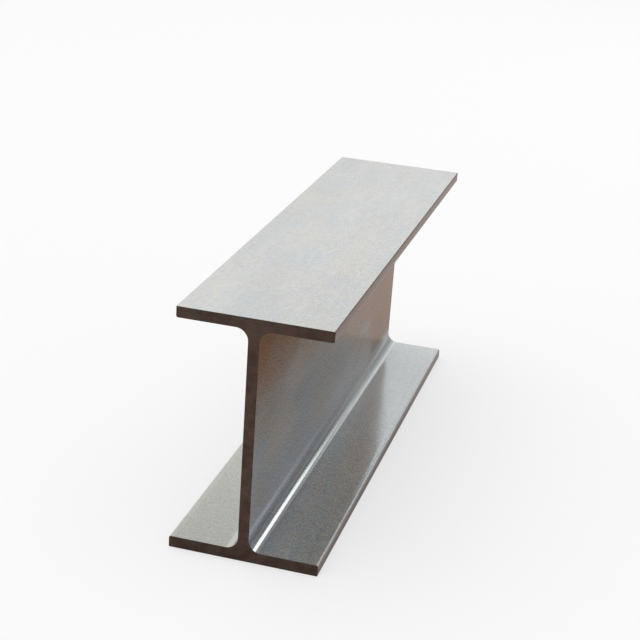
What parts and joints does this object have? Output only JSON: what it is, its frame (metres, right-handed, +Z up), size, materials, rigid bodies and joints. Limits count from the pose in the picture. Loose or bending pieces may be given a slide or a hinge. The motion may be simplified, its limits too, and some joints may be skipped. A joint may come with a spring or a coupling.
{
  "type": "steel h-beam",
  "caption": "Short sawn length of rolled steel H-section with parallel flanges joined to a thin upright web by rounded root fillets, standing on its lower flange; a structural beam or post.",
  "frame": {"origin": "on the floor under the middle of the bottom flange", "axes": "+X along the beam, -X towards the sawn end that faces the viewer, +Y across the flanges, +Z up through the web"},
  "size_m": [0.35, 0.09, 0.15],
  "materials": {
    "rolled_steel": "as rolled, satin grey with brownish oxide on the sawn ends, flange tips and upper web"
  },
  "bodies": {
    "root": {"h_beam": "rolled_steel"}
  },
  "joints": []
}
